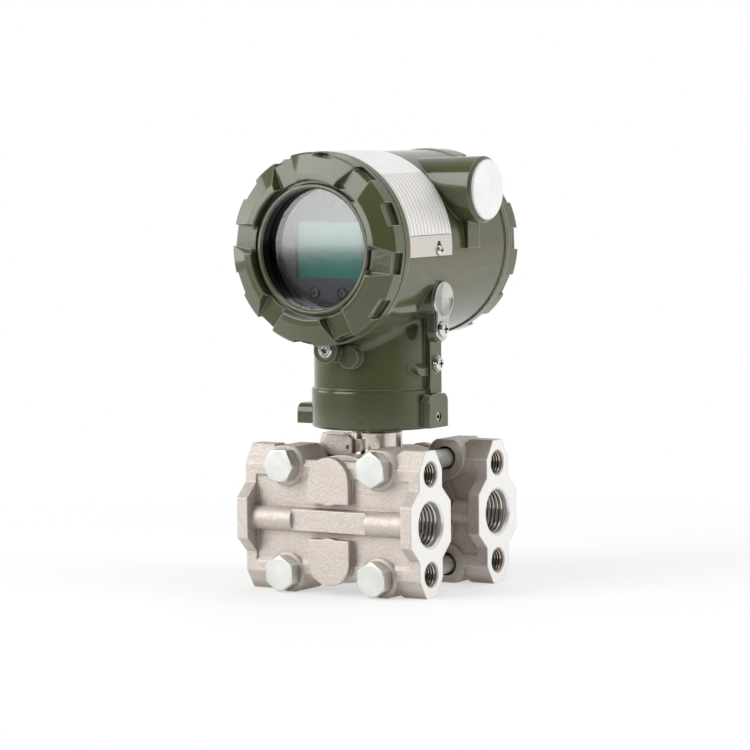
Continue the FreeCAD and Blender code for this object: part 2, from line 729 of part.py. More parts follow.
def rim_profile():
    """Lip, groove, crest, crown and rim wall of both covers, from the lip outwards."""
    return [(window_radius + 0.8, lip_height), (lip_radius - 0.5, lip_height),
            (lip_radius, lip_height - 0.5), (lip_radius, groove_floor),
            (groove_radius, groove_floor), (groove_radius, crown_height - 0.5),
            (groove_radius + 0.5, crown_height), (crown_radius, crown_height),
            (cover_radius - wall_round, wall_height), (cover_radius, wall_height - wall_round),
            (cover_radius, 0), (skirt_radius, 0), (skirt_radius, -skirt_length + 0.8),
            (skirt_radius - 0.8, -skirt_length), (skirt_inner_radius, -skirt_length)]


def front_cover():
    gasket_top = glass_front + glass_gasket_thick
    ring_low = glass_front - glass_thick - glass_ring_thick
    pocket_r = glass_radius + pocket_clearance
    window = [(window_radius, gasket_top), (window_radius, lip_height - 0.7)]
    seat = [(skirt_inner_radius, ring_low - 0.2), (pocket_r, ring_low - 0.2),
            (pocket_r, gasket_top)]
    return cut_rim(turned(window + rim_profile() + seat), front_slot_phase)


def rear_cover():
    wall = [(0, back_wall_low), (0, back_wall_high), (window_radius - 0.6, back_wall_high),
            (window_radius, back_wall_high + 0.6), (window_radius, lip_height - 0.7)]
    return cut_rim(turned(wall + rim_profile() + [(skirt_inner_radius, back_wall_low)]),
                   rear_slot_phase)


def cover_seal():
    inner = skirt_radius + 0.15
    outer = seal_seat_radius - 0.15
    low, high = -cover_gap - seal_seat_depth + 0.15, -0.1
    c = 0.5
    return turned([(inner, low + c), (inner + c, low), (outer - c, low), (outer, low + c),
                   (outer, high - c), (outer - c, high), (inner + c, high), (inner, high - c)])


def glass():
    low, high = glass_front - glass_thick, glass_front
    return turned([(0, low), (glass_radius - 0.4, low), (glass_radius, low + 0.4),
                   (glass_radius, high - 0.4), (glass_radius - 0.4, high), (0, high)])


def glass_gasket():
    return tube(glass_radius, window_radius + 0.2, glass_front, glass_front + glass_gasket_thick)


def glass_ring():
    high = glass_front - glass_thick
    ring = tube(glass_radius + pocket_clearance, window_radius + 0.1, high - glass_ring_thick, high)
    low, middle = high - glass_ring_thick, (glass_radius + window_radius) / 2
    slots = [box(side * middle - 1.5, side * middle + 1.5, -1.5, 1.5, low, low + 1.0)
             for side in (-1, 1)]
    return ring.cut(slots)


# Display stack in the front compartment

def display_bezel():
    back = bezel_face_y + bezel_thick
    disc = rod(bezel_radius, (0, bezel_rim_y, barrel_z), (0, back, barrel_z))
    sink = rod(bezel_window_radius, (0, bezel_rim_y, barrel_z), (0, bezel_face_y, barrel_z))
    window = box(-lcd_half_width, lcd_half_width, bezel_rim_y, back, barrel_z + lcd_low,
                 barrel_z + lcd_high)
    skirt = facing(tube(bezel_radius, bezel_radius - 1.2, back - display_board_y, 0),
                   "front", (0, back, barrel_z))
    cuts = [sink, window]
    for x, z in display_screw_spots:
        cuts.append(rod(display_screw_radius + 0.4, (x, bezel_rim_y, barrel_z + z),
                        (x, bezel_face_y + 0.9, barrel_z + z)))
        cuts.append(rod(1.2, (x, bezel_face_y, barrel_z + z), (x, back, barrel_z + z)))
    return merged(disc.cut(cuts), skirt)


def lcd_panel():
    front = bezel_face_y + bezel_thick
    edge = lcd_border
    return box(-lcd_half_width - edge, lcd_half_width + edge, front, front + lcd_thick,
               barrel_z + lcd_low - edge, barrel_z + lcd_high + edge)


def display_screws():
    seat = bezel_face_y + 0.9
    solids = []
    for x, z in display_screw_spots:
        length = display_board_y - seat
        screw = turned([(0, -length), (1.1, -length), (1.1, 0), (display_screw_radius, 0),
                        (display_screw_radius, 0.9), (display_screw_radius - 0.5, 1.3), (0, 1.3)])
        cross = merged(box(-1.3, 1.3, -0.25, 0.25, 0.7, 2), box(-0.25, 0.25, -1.3, 1.3, 0.7, 2))
        solids.append(facing(screw.cut(cross), "front", (x, seat, barrel_z + z)))
    return Part.makeCompound(solids)


def board(y):
    return rod(board_radius, (0, y, barrel_z), (0, y + board_thick, barrel_z))


def board_posts():
    solids = []
    spans = ((display_board_y + board_thick, amplifier_board_y),
             (amplifier_board_y + board_thick, partition_front_y))
    for angle in post_angles:
        x = post_spot_radius * cos(radians(angle))
        z = barrel_z + post_spot_radius * sin(radians(angle))
        solids += [rod(post_radius, (x, low, z), (x, high, z)) for low, high in spans]
    return Part.makeCompound(solids)


# Terminals in the rear compartment

def terminal_xs():
    return [terminal_pitch * (i - (terminal_count - 1) / 2) for i in range(terminal_count)]


def terminal_block():
    low, high = barrel_z - terminal_half_height, barrel_z + terminal_half_height
    back = partition_rear_y + terminal_depth
    block = box(-terminal_half_width, terminal_half_width, partition_rear_y, back, low, high)
    half, deep = terminal_bay_half, terminal_bay_depth
    cuts = [box(x - half, x + half, back - deep, back, low + deep, high) for x in terminal_xs()]
    return block.cut(cuts)


def terminal_screws():
    seat = partition_rear_y + terminal_depth - terminal_bay_depth
    top = terminal_screw_height
    solids = []
    for x in terminal_xs():
        screw = turned([(0, 0), (terminal_screw_radius, 0), (terminal_screw_radius, top - 0.5),
                        (terminal_screw_radius - 0.5, top), (0, top)])
        screw = screw.cut(box(-terminal_screw_radius, terminal_screw_radius, -0.4, 0.4,
                              top - 1.0, top))
        solids.append(facing(screw, "rear", (x, seat, barrel_z)))
    return Part.makeCompound(solids)


# Nameplate strip bent over the top of the barrel

def on_barrel(radius, angle, y):
    return V(radius * cos(radians(angle)), y, barrel_z + radius * sin(radians(angle)))


def nameplate():
    inner = barrel_radius + 0.05
    outer = inner + nameplate_thick
    sweep = 180 - 2 * nameplate_low_angle
    section = [V(inner, plate_front_y, 0), V(outer, plate_front_y, 0), V(outer, plate_rear_y, 0),
               V(inner, plate_rear_y, 0), V(inner, plate_front_y, 0)]
    strip = Part.Face(Part.makePolygon(section)).revolve(V(0, 0, 0), V(0, 1, 0), -sweep)
    strip.rotate(V(0, 0, 0), V(0, 1, 0), -nameplate_low_angle)
    strip.translate(V(0, 0, barrel_z))
    cuts = []
    for mirror in (False, True):
        for angle in (nameplate_screw_angle, nameplate_screw_angle + 3.4):
            angle = 180 - angle if mirror else angle
            cuts.append(rod(1.5, tuple(on_barrel(outer - 2, angle, nameplate_screw_y)),
                            tuple(on_barrel(outer + 2, angle, nameplate_screw_y))))
    return strip.cut(cuts)


def nameplate_screws():
    seat = barrel_radius + 0.05 + nameplate_thick
    solids = []
    for angle in (nameplate_screw_angle, 180 - nameplate_screw_angle):
        screw = pan_screw(nameplate_screw_shank, nameplate_screw_length, nameplate_screw_head,
                          nameplate_screw_height)
        screw = facing(screw, "right", (0, 0, 0))
        screw.translate(V(seat, nameplate_screw_y, 0))
        screw.rotate(V(0, 0, 0), V(0, 1, 0), -angle)
        screw.translate(V(0, 0, barrel_z))
        solids.append(screw)
    return Part.makeCompound(solids)


# Outside screws

def pan_screw(shank, length, head, height):
    """Cross recessed pan head along +Z, with its seat at z = 0."""
    body = turned([(0, -length), (shank - 0.3, -length), (shank, -length + 0.4), (shank, 0),
                   (head, 0), (head, height * 0.5), (head * 0.82, height * 0.85),
                   (head * 0.5, height), (0, height)])
    arm, half = head * 0.55, head * 0.13
    cross = merged(box(-arm, arm, -half, half, height * 0.45, height + 1),
                   box(-half, half, -arm, arm, height * 0.45, height + 1))
    return body.cut(cross)


def socket_screw(shank, length, head, height, key):
    body = turned([(0, -length), (shank, -length), (shank, 0), (head, 0), (head, height - 0.4),
                   (head - 0.4, height), (0, height)])
    return body.cut(hexagon(key, height * 0.35, height + 2, 0.0))


def zero_cover_plate():
    x0 = zero_face_x + 0.1
    plate = zero_outline(x0, x0 + zero_plate_thick, 0.0)
    return plate.cut(rod(pan_shank_radius + 0.1, (x0 - 1, zero_pivot_y, zero_pivot_z),
                         (x0 + 3, zero_pivot_y, zero_pivot_z)))


def zero_cover_screw():
    seat = zero_face_x + 0.2 + zero_plate_thick
    length = zero_tongue + zero_plate_thick
    return facing(pan_screw(pan_shank_radius - 0.1, length, pan_radius, pan_height), "right",
                  (seat, zero_pivot_y, zero_pivot_z))


def zero_adjust_screw():
    body = turned([(0, -zero_screw_recess + 0.2), (zero_screw_radius, -zero_screw_recess + 0.2),
                   (zero_screw_radius, -0.8), (zero_screw_radius - 0.4, -0.4), (0, -0.4)])
    body = body.cut(box(-4, 4, -0.45, 0.45, -1.8, 0))
    return facing(body, "right", (zero_face_x, zero_y, zero_screw_z))


def ground_screw():
    seat = ground_face_x + 0.3 + washer_thick
    return facing(pan_screw(pan_shank_radius - 0.05, 6.5, ground_screw_radius, pan_height),
                  "right", (seat, ground_y, ground_z))


def ground_washer():
    ring = tube(ground_screw_radius + 0.5, pan_shank_radius + 0.1, 0, washer_thick)
    return facing(ring, "right", (ground_face_x + 0.3, ground_y, ground_z))


def lock_screw(side):
    screw = socket_screw(pan_shank_radius - 0.05, 6.0, lock_head_radius, lock_head_height, 3.0)
    direction = "front" if side < 0 else "rear"
    seat = abs(lock_y) - lock_recess
    return facing(screw, direction, (-side * lock_x, side * seat, lock_z))


def swivel_set_screws():
    solids = []
    for side, reach in ((1, lug_right_x), (-1, lug_left_x)):
        inner = spigot_radius - groove_depth + 0.15
        length = reach - 0.5 - inner
        screw = turned([(0, -length), (set_screw_radius - 0.9, -length),
                        (set_screw_radius - 0.08, -length + 0.9), (set_screw_radius - 0.08, 0),
                        (0, 0)])
        screw = screw.cut(hexagon(2.0, -2.2, 1.0, 0.0, 0.0))
        direction = "right" if side > 0 else "left"
        solids.append(facing(screw, direction, (side * (reach - 0.5), 0, set_screw_z)))
    return Part.makeCompound(solids)


# Conduit entries

def conduit_cap():
    outer = conduit_bore_radius - cap_clearance
    head = turned([(0, 0), (cap_radius - 0.2, 0), (cap_radius, 0.3), (cap_radius, cap_thick - 0.6),
                   (cap_radius - 0.6, cap_thick - 0.1), (0, cap_thick)])
    stem = tube(outer, outer - 1.3, -cap_stem_length, 0)
    return facing(merged(head, stem), "right", (conduit_end_x, conduit_y, conduit_z))


def conduit_plug():
    outer = conduit_bore_radius - 0.05
    shank = turned([(0, -cap_stem_length), (outer - 0.8, -cap_stem_length),
                    (outer, -cap_stem_length + 0.8), (outer, 0), (0, 0)])
    head = hexagon(plug_flats, 0, plug_head, 30.0, 0.8)
    return facing(merged(shank, head), "left", (-conduit_end_x, conduit_y, conduit_z))


def on_cover(shape, direction):
    return facing(shape, direction, (0, front_cover_y if direction == "front" else rear_cover_y,
                                     barrel_z))


def nodes():
    made = {"capsule_body": capsule(), "sensor_connector": sensor_connector(),
            "orientation_plate": orientation_plate(), "spigot_seal": spigot_seal(),
            "flange_bolts": bolts(), "flange_nuts": nuts()}
    for direction in ("front", "rear"):
        made[direction + "_flange"] = placed_flange(direction)
        made[direction + "_gasket"] = capsule_gasket(direction)
        made[direction + "_diaphragm"] = diaphragm(direction)
        made[direction + "_port_plug"] = port_plug(direction)
        made[direction + "_vent_screw"] = vent_screw(direction)
        made[direction + "_cover_seal"] = on_cover(cover_seal(), direction)
        made[direction + "_lock_screw"] = lock_screw(-1 if direction == "front" else 1)
    made.update({"housing": housing(), "front_cover": on_cover(front_cover(), "front"),
                 "rear_cover": on_cover(rear_cover(), "rear"),
                 "window_glass": on_cover(glass(), "front"),
                 "glass_gasket": on_cover(glass_gasket(), "front"),
                 "glass_ring": on_cover(glass_ring(), "front"),
                 "display_bezel": display_bezel(), "lcd_panel": lcd_panel(),
                 "display_screws": display_screws(),
                 "display_board": board(display_board_y),
                 "amplifier_board": board(amplifier_board_y), "board_posts": board_posts(),
                 "terminal_block": terminal_block(), "terminal_screws": terminal_screws(),
                 "nameplate": nameplate(), "nameplate_screws": nameplate_screws(),
                 "zero_cover_plate": zero_cover_plate(), "zero_cover_screw": zero_cover_screw(),
                 "zero_adjust_screw": zero_adjust_screw(), "ground_screw": ground_screw(),
                 "ground_washer": ground_washer(), "swivel_set_screws": swivel_set_screws(),
                 "conduit_cap": conduit_cap(), "conduit_plug": conduit_plug()})
    return made


os.makedirs("parts", exist_ok=True)
for node_name, node_shape in nodes().items():
    node_shape.translate(V(-flange_half_length, 0, -port_z))
    node_shape.exportStep("parts/" + node_name + ".step")
    print(node_name, node_shape.isValid(), len(node_shape.Solids), round(node_shape.Volume))
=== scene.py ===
import json
from math import cos, pi, radians, sin

import bpy
from mathutils import Matrix, Vector


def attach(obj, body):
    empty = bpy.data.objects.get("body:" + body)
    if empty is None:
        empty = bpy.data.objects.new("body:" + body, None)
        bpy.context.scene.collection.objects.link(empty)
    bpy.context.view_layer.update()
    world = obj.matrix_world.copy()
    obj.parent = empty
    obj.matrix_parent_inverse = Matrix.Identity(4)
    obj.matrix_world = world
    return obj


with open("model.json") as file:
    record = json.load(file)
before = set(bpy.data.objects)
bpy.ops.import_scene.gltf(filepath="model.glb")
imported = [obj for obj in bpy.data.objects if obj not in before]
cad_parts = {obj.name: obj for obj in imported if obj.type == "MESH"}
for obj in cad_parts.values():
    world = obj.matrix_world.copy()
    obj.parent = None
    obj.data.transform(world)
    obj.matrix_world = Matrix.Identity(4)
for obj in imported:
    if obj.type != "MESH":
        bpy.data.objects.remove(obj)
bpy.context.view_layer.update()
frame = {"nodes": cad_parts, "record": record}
nodes = frame["nodes"]
print("frame loaded:", len(nodes), "nodes")

neckX = -0.0426  # the neck's axis
barrelZ = 0.1126  # the barrel's axis
portY = 0.027  # half of what the two ports stand apart
portFaceX = {"right": 0.0, "left": -0.0852}
manifoldZ = 0.02065  # half of what a face's manifold holes stand apart
jointY = {"front": -0.0402, "rear": 0.0439}  # joint planes of the two covers
bothSides = (-1, 1)
quarterTurn = pi / 2


# Node helpers

def addNode(tree, kind, values=None, **links):
    node = tree.nodes.new(kind)
    for key, value in (values or {}).items():
        if key in node.inputs:
            node.inputs[key].default_value = value
        else:
            setattr(node, key, value)
    for key, source in links.items():
        tree.links.new(source, node.inputs[key.replace("_", " ")])
    return node


def setInputs(node, values):
    for key, value in values.items():
        node.inputs[key].default_value = value


def inputSource(socket):
    return socket.links[0].from_socket


def calc(tree, operation, a, b=None):
    node = tree.nodes.new("ShaderNodeMath")
    node.operation = operation
    for socket, value in zip(node.inputs, (a, b)):
        if isinstance(value, bpy.types.NodeSocket):
            tree.links.new(value, socket)
        elif value is not None:
            socket.default_value = value
    return node.outputs[0]


def distance(tree, a, b):
    squares = calc(tree, "ADD", calc(tree, "MULTIPLY", a, a), calc(tree, "MULTIPLY", b, b))
    return calc(tree, "SQRT", squares)


def between(tree, value, low, high):
    return calc(tree, "MULTIPLY", calc(tree, "GREATER_THAN", value, low),
                calc(tree, "LESS_THAN", value, high))


def axes(tree, point):
    return addNode(tree, "ShaderNodeSeparateXYZ", Vector=point).outputs


# Shader helpers

def startMaterial(name):
    mat = bpy.data.materials.new(name)
    mat.use_nodes = True
    tree = mat.node_tree
    tree.nodes.clear()
    out = tree.nodes.new("ShaderNodeOutputMaterial")
    shader = tree.nodes.new("ShaderNodeBsdfPrincipled")
    tree.links.new(shader.outputs[0], out.inputs["Surface"])
    return mat, tree, shader


def objectPoint(tree):
    return tree.nodes.new("ShaderNodeTexCoord").outputs["Object"]


def noise(tree, point, scale, detail=3.0, rough=0.5):
    return addNode(tree, "ShaderNodeTexNoise",
                   {"Scale": scale, "Detail": detail, "Roughness": rough},
                   Vector=point).outputs["Fac"]


def spread(tree, source, fromLow, fromHigh, toLow, toHigh):
    return addNode(tree, "ShaderNodeMapRange",
                   {"From Min": fromLow, "From Max": fromHigh, "To Min": toLow, "To Max": toHigh},
                   Value=source).outputs["Result"]


def mixColour(tree, factor, a, b):
    node = tree.nodes.new("ShaderNodeMix")
    node.data_type = "RGBA"
    sockets = (node.inputs["Factor"], node.inputs[6], node.inputs[7])
    for socket, value in zip(sockets, (factor, a, b)):
        if isinstance(value, bpy.types.NodeSocket):
            tree.links.new(value, socket)
        elif isinstance(value, (int, float)):
            socket.default_value = value
        else:
            socket.default_value = (*value, 1.0)
    return node.outputs[2]


def mixShaders(tree, share, first, second):
    # shows two shaders, the second by its share
    mix = tree.nodes.new("ShaderNodeMixShader")
    for socket, source in zip(mix.inputs, (share, first.outputs[0], second.outputs[0])):
        tree.links.new(source, socket)
    tree.links.new(mix.outputs[0], tree.nodes["Material Output"].inputs["Surface"])


def overpaint(tree, shader, mask, tone):
    # another tone where the mask says
    colour = mixColour(tree, mask, inputSource(shader.inputs["Base Color"]), tone)
    tree.links.new(colour, shader.inputs["Base Color"])


def bumped(tree, shader, height, depth):
    # one more bump over the normal that the shader already has
    bump = addNode(tree, "ShaderNodeBump", {"Distance": depth, "Strength": 1.0}, Height=height,
                   Normal=inputSource(shader.inputs["Normal"]))
    tree.links.new(bump.outputs["Normal"], shader.inputs["Normal"])


surfaceSet = {"toneSpan": (0.35, 0.65), "toneDetail": 4.0, "roughSpan": (0.3, 0.7),
              "roughScale": 2.3, "grainDetail": 2.0, "openCorner": 0.92,
              "edgeSpan": (0.985, 0.80), "cornerSamples": 6, "edgeSamples": 4}


def edgeShare(tree, softened, share):
    # how far the softened normal leans from the flat one: most along an edge
    flat = tree.nodes.new("ShaderNodeNewGeometry").outputs["Normal"]
    match = addNode(tree, "ShaderNodeVectorMath", {"operation": "DOT_PRODUCT"})
    tree.links.new(softened, match.inputs[0])
    tree.links.new(flat, match.inputs[1])
    return spread(tree, match.outputs["Value"], *surfaceSet["edgeSpan"], 0.0, share)


def surface(name, look):
    # two tones, two roughness levels, grain over softened edges, painted shade in corners and
    # a paler painted highlight along the edges
    mat, tree, shader = startMaterial(name)
    point = objectPoint(tree)
    patches = noise(tree, point, look["patch"], surfaceSet["toneDetail"])
    tone = spread(tree, patches, *surfaceSet["toneSpan"], 0.0, 1.0)
    colour = mixColour(tree, tone, *look["tones"])
    # painted shade: occlusion darkens the colour in corners, creases and recesses, where shade
    # falls
    if "corner" in look:
        depth, shadeTone, low = look["corner"]
        near = addNode(tree, "ShaderNodeAmbientOcclusion",
                       {"Distance": depth, "samples": surfaceSet["cornerSamples"]})
        shadeShare = spread(tree, near.outputs["AO"], low, surfaceSet["openCorner"], 1.0, 0.0)
        colour = mixColour(tree, shadeShare, colour, shadeTone)
    bevel = addNode(tree, "ShaderNodeBevel",
                    {"Radius": look["edge"], "samples": surfaceSet["edgeSamples"]})
    softened = bevel.outputs["Normal"]
    # painted highlight: a paler tone along rounded edges, standing in for the lamps' glints there
    if "edgeHighlight" in look:
        highlightTone, share = look["edgeHighlight"]
        colour = mixColour(tree, edgeShare(tree, softened, share), colour, highlightTone)
    tree.links.new(colour, shader.inputs["Base Color"])
    levels = noise(tree, point, look["patch"] * surfaceSet["roughScale"])
    tree.links.new(spread(tree, levels, *surfaceSet["roughSpan"], *look["rough"]),
                   shader.inputs["Roughness"])
    setInputs(shader, {"Metallic": look.get("metal", 0.0),
                       "Specular IOR Level": look.get("gloss", 0.5),
                       "Coat Weight": look.get("coat", 0.0),
                       "Coat Roughness": look.get("coatRough", 0.05)})
    tree.links.new(softened, shader.inputs["Normal"])
    for scale, depth in look["grain"]:
        bumped(tree, shader, noise(tree, point, scale, surfaceSet["grainDetail"]), depth)
    if "coat" in look:
        tree.links.new(inputSource(shader.inputs["Normal"]), shader.inputs["Coat Normal"])
    return mat, tree, shader


# corner: reach, tone and where it starts; edge highlight: tone and share; grain: scale and depth
# the corner tone is painted shade; the edge highlight is a painted highlight along rounded edges
looks = {
    "greenPaint": {"tones": ((0.059, 0.067, 0.025), (0.070, 0.079, 0.031)), "patch": 14,
                   "rough": (0.34, 0.42), "gloss": 0.2, "coat": 1.0, "coatRough": 0.07,
                   "edge": 0.0007, "corner": (0.010, (0.028, 0.031, 0.012), 0.15),
                   "edgeHighlight": ((0.44, 0.46, 0.37), 0.75),
                   "grain": ((350, 0.000012), (900, 0.000003))},
    "castSteel": {"tones": ((0.53, 0.472, 0.425), (0.612, 0.553, 0.505)), "patch": 800,
                  "metal": 0.55, "rough": (0.44, 0.58), "edge": 0.0009,
                  "corner": (0.004, (0.36, 0.29, 0.25), 0.25),
                  "edgeHighlight": ((0.86, 0.83, 0.80), 0.8),
                  "grain": ((1300, 0.00020), (500, 0.00008))},
    "turnedSteel": {"tones": ((0.66, 0.59, 0.52), (0.79, 0.74, 0.68)), "patch": 40,
                    "metal": 1.0, "rough": (0.10, 0.20), "edge": 0.0003,
                    "corner": (0.0016, (0.16, 0.13, 0.11), 0.2), "grain": ((2500, 0.00001),)},
    "zincPlate": {"tones": ((0.62, 0.63, 0.60), (0.74, 0.75, 0.72)), "patch": 90, "metal": 0.8,
                  "rough": (0.28, 0.34), "edge": 0.0004, "grain": ((500, 0.000006),)},
    "brightScrew": {"tones": ((0.74, 0.72, 0.68), (0.82, 0.81, 0.79)), "patch": 150,
                    "metal": 1.0, "rough": (0.10, 0.2), "edge": 0.00015,
                    "corner": (0.001, (0.03, 0.03, 0.03), 0.3), "grain": ((2500, 0.00001),)},
    "plateSteel": {"tones": ((0.82, 0.81, 0.795), (0.88, 0.875, 0.865)), "patch": 30,
                   "metal": 0.35, "rough": (0.30, 0.38), "edge": 0.0001,
                   "grain": ((2200, 0.000004),)},
    "blackRubber": {"tones": ((0.012, 0.012, 0.012), (0.02, 0.02, 0.02)), "patch": 120,
                    "rough": (0.55, 0.7), "edge": 0.0002, "grain": ((1800, 0.00002),)},
    "whiteSealant": {"tones": ((0.70, 0.70, 0.66), (0.78, 0.78, 0.75)), "patch": 120,
                     "rough": (0.4, 0.5), "edge": 0.0002, "grain": ((900, 0.00001),)},
    "bezelPlastic": {"tones": ((0.030, 0.027, 0.036), (0.038, 0.034, 0.045)), "patch": 60,
                     "rough": (0.40, 0.50), "gloss": 0.2, "edge": 0.0003,
                     "corner": (0.002, (0.003, 0.003, 0.004), 0.4),
                     "grain": ((2600, 0.00002),)},
    "displayFilm": {"tones": ((0.010, 0.092, 0.075), (0.014, 0.105, 0.086)), "patch": 20,
                    "rough": (0.06, 0.09), "gloss": 0.35, "edge": 0.0001,
                    "grain": ((600, 0.000002),)},
    "boardResist": {"tones": ((0.010, 0.085, 0.030), (0.016, 0.11, 0.042)), "patch": 200,
                    "rough": (0.3, 0.4), "edge": 0.0001, "grain": ((1500, 0.00002),)},
    "postBrass": {"tones": ((0.62, 0.42, 0.16), (0.70, 0.50, 0.22)), "patch": 150,
                  "metal": 1.0, "rough": (0.2, 0.32), "edge": 0.0002,
                  "grain": ((2000, 0.00001),)},
    "blackMoulding": {"tones": ((0.018, 0.018, 0.019), (0.026, 0.026, 0.028)), "patch": 80,
                      "rough": (0.38, 0.5), "edge": 0.0003, "grain": ((1400, 0.00002),)},
    "whiteMoulding": {"tones": ((0.70, 0.71, 0.715), (0.74, 0.745, 0.75)), "patch": 60,
                      "rough": (0.32, 0.42), "edge": 0.0003, "grain": ((700, 0.000004),)},
    "dishSteel": {"tones": ((0.56, 0.555, 0.53), (0.66, 0.655, 0.63)), "patch": 90,
                  "metal": 1.0, "rough": (0.16, 0.22), "edge": 0.0003,
                  "grain": ((600, 0.000006),)},
    "plateInk": {"tones": ((0.17, 0.15, 0.14), (0.24, 0.22, 0.21)), "patch": 200,
                 "rough": (0.5, 0.6), "edge": 0.00005, "grain": ((2500, 0.000005),)},
}


# Finishes that change from place to place on a piece

def barrelPlace(tree, point):
    # distance from the barrel's axis, and the place along it
    x, y, z = axes(tree, point)
    across = calc(tree, "SUBTRACT", x, neckX)
    above = calc(tree, "SUBTRACT", z, barrelZ)
    return distance(tree, across, above), y


stainSet = {"middle": 0.1036, "half": 0.0046, "full": 0.4, "wander": 0.0100, "inner": 0.012,
            "tone": (0.125, 0.092, 0.034), "share": 0.38, "patch": 110, "detail": 5.0,
            "rough": 0.6, "stretch": (1.0, 0.3, 1.0)}


def stainShare(tree, point):
    # a faint ochre band, broken up, low on the barrel's right side
    x, _, z = axes(tree, point)
    stretch = addNode(tree, "ShaderNodeMapping", {"Scale": stainSet["stretch"]}, Vector=point)
    blotch = noise(tree, stretch.outputs["Vector"], stainSet["patch"], stainSet["detail"],
                   stainSet["rough"])
    wander = spread(tree, blotch, 0.3, 0.7, -stainSet["wander"], stainSet["wander"])
    off = calc(tree, "ABSOLUTE", calc(tree, "SUBTRACT", calc(tree, "ADD", z, wander),
                                      stainSet["middle"]))
    band = spread(tree, off, stainSet["half"] * stainSet["full"], stainSet["half"],
                  stainSet["share"], 0.0)
    side = spread(tree, x, neckX + stainSet["inner"], neckX + stainSet["inner"] * 2, 0.0, 1.0)
    return calc(tree, "MULTIPLY", band, side)


bareSet = {"reach": 0.0125, "radius": 0.0365, "pitch": 0.0015, "depth": 0.0005,
           "tone": (0.62, 0.61, 0.59), "windowRadius": 0.0252, "windowHeight": 0.0072,
           "windowTone": (0.006, 0.005, 0.005)}


def barePaint(name, spans, dark=None, stain=False):
    # green enamel, with the cover threads left bare and turned, and the window's seat dark
    mat, tree, shader = surface(name, looks["greenPaint"])
    point = objectPoint(tree)
    radius, along = barrelPlace(tree, point)
    mask = between(tree, along, *spans[0])
    for span in spans[1:]:
        mask = calc(tree, "MAXIMUM", mask, between(tree, along, *span))
    mask = calc(tree, "MULTIPLY", mask, calc(tree, "LESS_THAN", radius, bareSet["radius"]))
    if stain:
        overpaint(tree, shader, stainShare(tree, point), stainSet["tone"])
    overpaint(tree, shader, mask, bareSet["tone"])
    # a near-black tone on the window opening's inner wall
    if dark:
        shade = calc(tree, "MULTIPLY", between(tree, along, *dark),
                     calc(tree, "LESS_THAN", radius, bareSet["windowRadius"]))
        overpaint(tree, shader, shade, bareSet["windowTone"])
    tree.links.new(mask, shader.inputs["Metallic"])
    turnsAlong = calc(tree, "FRACT", calc(tree, "DIVIDE", along, bareSet["pitch"]))
    ridge = calc(tree, "PINGPONG", turnsAlong, 0.5)
    bumped(tree, shader, calc(tree, "MULTIPLY", ridge, mask), bareSet["depth"])
    return mat


bezelSet = {"rimRadius": 0.0224, "rimTone": (0.009, 0.008, 0.011)}


def bezelFinish(name):
    # moulded bezel, its raised rim darker than its face
    mat, tree, shader = surface(name, looks["bezelPlastic"])
    radius, _ = barrelPlace(tree, objectPoint(tree))
    overpaint(tree, shader, calc(tree, "GREATER_THAN", radius, bezelSet["rimRadius"]),
              bezelSet["rimTone"])
    return mat


glassSet = {"sockets": {"Base Color": (0.95, 0.98, 0.97, 1.0), "Transmission Weight": 1.0,
                        "IOR": 1.52, "Specular Tint": (0.0, 0.0, 0.0, 1.0),
                        "Coat Weight": 1.0, "Coat Roughness": 0.06, "Coat IOR": 1.6},
            "patch": 50, "rough": (0.012, 0.03), "shadow": (0.9, 0.95, 0.93, 1.0)}


def glassFinish(name):
    # a clear view, with the coat's soft reflections over it and a light shadow
    mat, tree, shader = startMaterial(name)
    setInputs(shader, glassSet["sockets"])
    haze = noise(tree, objectPoint(tree), glassSet["patch"])
    tree.links.new(spread(tree, haze, 0.3, 0.7, *glassSet["rough"]), shader.inputs["Roughness"])
    clear = addNode(tree, "ShaderNodeBsdfTransparent", {"Color": glassSet["shadow"]})
    isShadow = tree.nodes.new("ShaderNodeLightPath").outputs["Is Shadow Ray"]
    mixShaders(tree, isShadow, shader, clear)
    return mat


plateSet = {"strip": 0.1179, "top": 0.1432, "stripTone": (0.60, 0.565, 0.51),
            "ruledTone": (0.80, 0.78, 0.76), "scratches": (60, 9000, 60),
            "scratchDepth": 0.000004}


def brushedPlate(name):
    # fine scratches that run round the barrel; a bare strip at the bottom, a paler top
    mat, tree, shader = surface(name, looks["plateSteel"])
    point = objectPoint(tree)
    _, _, z = axes(tree, point)
    for height, tone in (("top", "ruledTone"), ("strip", "stripTone")):
        overpaint(tree, shader, calc(tree, "LESS_THAN", z, plateSet[height]), plateSet[tone])
    stretch = addNode(tree, "ShaderNodeMapping", {"Scale": plateSet["scratches"]}, Vector=point)
    bumped(tree, shader, noise(tree, stretch.outputs["Vector"], 1.0, 2.0),
           plateSet["scratchDepth"])
    return mat


faceSet = {"skin": 0.00006, "tone": (0.87, 0.86, 0.84), "metal": 0.62, "smoother": 0.16,
           "pitch": 0.00035, "depth": 0.000006, "boreRadius": 0.00935, "boreDepth": 0.021,
           "mouthRadius": 0.0104, "mouthDepth": 0.001}


